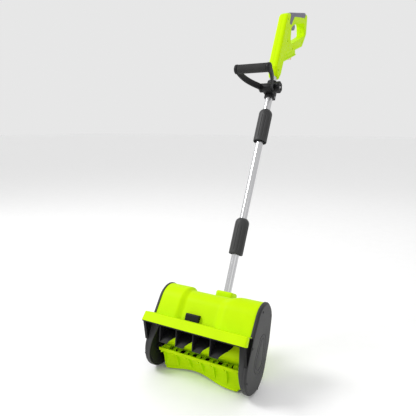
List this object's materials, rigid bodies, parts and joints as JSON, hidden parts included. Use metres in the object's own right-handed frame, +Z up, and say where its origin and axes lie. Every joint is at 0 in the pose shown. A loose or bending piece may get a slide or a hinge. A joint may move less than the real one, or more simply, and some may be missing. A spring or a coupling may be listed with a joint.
{
  "type": "cordless snow shovel",
  "caption": "Motor-driven paddle rotor in a scoop-shaped head on a jointed tube, with a tilting assist bar and a rear D-handle holding a trigger and battery rails.",
  "frame": {"origin": "middle of the scraper bar's lower face, on the ground under the rear of the head", "axes": "+Z up, +X to the right as seen from the front, -Y the way the intake faces and the machine is pushed; the shaft leans 27 degrees back from +Z towards +Y"},
  "size_m": [0.33, 0.8922, 1.1689],
  "materials": {
    "lime_moulding": "semi-gloss",
    "black_moulding": "fine grained",
    "grey_moulding": "fine grained",
    "slate_soft": "soft, fine texture",
    "slate_hard": "satin",
    "foam": "closed-cell foam",
    "tube_alu": "polished",
    "steel": "zinc plated",
    "dark_steel": "blackened",
    "belt": "matt",
    "copper": "wound",
    "contact": "plain",
    "board": "solder mask"
  },
  "bodies": {
    "machine": {"drum_housing": "lime_moulding", "intake_hood": "lime_moulding", "intake_liner": "black_moulding", "scraper_bar": "black_moulding", "left_side_frame": "black_moulding", "right_side_frame": "black_moulding", "left_side_cover": "grey_moulding", "right_side_cover": "grey_moulding", "side_cover_screws": "dark_steel", "motor_vent_cover": "black_moulding", "tube_socket": "lime_moulding", "socket_bolt": "steel", "left_bearing": "steel", "right_bearing": "steel", "drive_belt": "belt", "motor_can": "dark_steel", "motor_screws": "steel", "lower_tube": "tube_alu", "middle_tube": "tube_alu", "upper_tube": "tube_alu", "joint_cores": "black_moulding", "power_cable": "belt", "handle_shell_left": "lime_moulding", "handle_shell_right": "lime_moulding", "handle_screws": "dark_steel", "grip_overmould": "slate_soft", "trigger_spring": "steel", "lock_off_spring": "steel", "switch_body": "black_moulding", "terminal_block": "black_moulding", "terminal_blades": "contact", "control_board": "board"},
    "rotor": {"rotor": "lime_moulding", "rotor_axles": "steel", "rotor_pulley": "black_moulding"},
    "motor_rotor": {"motor_pulley": "steel", "motor_shaft": "steel", "motor_armature": "copper"},
    "lower_sleeve": {"lower_joint_sleeve": "grey_moulding"},
    "upper_sleeve": {"upper_joint_sleeve": "grey_moulding"},
    "assist_slider": {"assist_clamp": "black_moulding", "clamp_screws": "steel", "pivot_bolt": "steel"},
    "assist_bar": {"assist_bail": "black_moulding", "assist_grip": "foam"},
    "knob": {"clamp_knob": "black_moulding"},
    "trigger": {"trigger": "slate_hard"},
    "lock_off": {"lock_off_button": "slate_hard"}
  },
  "joints": [
    {"name": "rotor_spin", "type": "hinge", "parent": "machine", "child": "rotor", "pos_m": [0, -0.04396, 0.06802], "axis": [1, 0, 0], "continuous": true},
    {"name": "motor_spin", "type": "hinge", "parent": "machine", "child": "motor_rotor", "pos_m": [0, 0.0267, 0.17983], "axis": [1, 0, 0], "continuous": true},
    {"name": "lower_sleeve_twist", "type": "hinge", "parent": "machine", "child": "lower_sleeve", "pos_m": [0, 0.20325, 0.37214], "axis": [0, 0.454, 0.891], "range_deg": [0, 90]},
    {"name": "upper_sleeve_twist", "type": "hinge", "parent": "machine", "child": "upper_sleeve", "pos_m": [0, 0.38257, 0.72408], "axis": [0, 0.454, 0.891], "range_deg": [0, 90]},
    {"name": "assist_slide", "type": "slide", "parent": "machine", "child": "assist_slider", "axis": [0, 0.454, 0.891], "range_m": [-0.035, 0.01]},
    {"name": "assist_tilt", "type": "hinge", "parent": "assist_slider", "child": "assist_bar", "pos_m": [0, 0.41912, 0.85529], "axis": [1, 0, 0], "range_deg": [-80, 60]},
    {"name": "knob_turn", "type": "hinge", "parent": "assist_slider", "child": "knob", "pos_m": [0.037, 0.41912, 0.85529], "axis": [1, 0, 0], "continuous": true},
    {"name": "trigger_pull", "type": "slide", "parent": "machine", "child": "trigger", "axis": [0, -0.1961, 0.9806], "range_m": [0, 0.005], "stiffness_N_per_m": 300, "springref_m": -0.004},
    {"name": "lock_off_press", "type": "slide", "parent": "machine", "child": "lock_off", "axis": [1, 0, 0], "range_m": [0, 0.0025], "stiffness_N_per_m": 300, "springref_m": -0.004}
  ],
  "couplings": [
    {"joint": "motor_spin", "follows": "rotor_spin", "ratio": 4.5}
  ]
}
